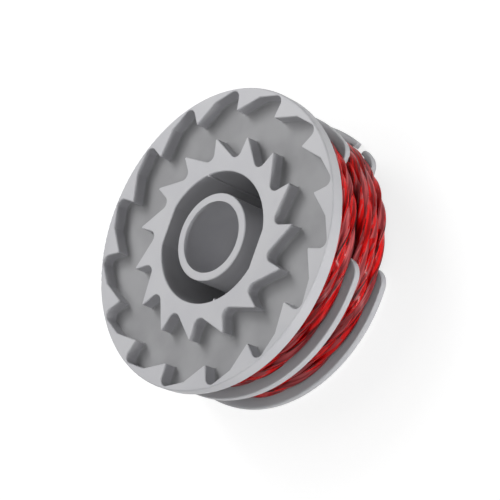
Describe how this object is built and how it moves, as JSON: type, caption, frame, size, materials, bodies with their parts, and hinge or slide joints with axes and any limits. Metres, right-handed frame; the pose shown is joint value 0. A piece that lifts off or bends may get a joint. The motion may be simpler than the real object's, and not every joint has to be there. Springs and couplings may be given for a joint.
{
  "type": "trimmer line spool",
  "caption": "Moulded spool with facing rings of ratchet teeth in its face, a bored hub tube in a deep ring well, and twisted cutting line wound in its channels.",
  "frame": {"origin": "middle of the rear flange's outer face, on the spool's axis", "axes": "+Z along the axis, out of the ratchet face; the flange gaps are centred on -Y and +Y"},
  "size_m": [0.064, 0.064, 0.0205],
  "materials": {
    "spool_plastic": "satin moulded plastic, pale cool grey",
    "cutting_line": "glossy red nylon line of twisted section"
  },
  "bodies": {
    "root": {"spool_body": "spool_plastic", "front_line_winding": "cutting_line", "rear_line_winding": "cutting_line"}
  },
  "joints": []
}
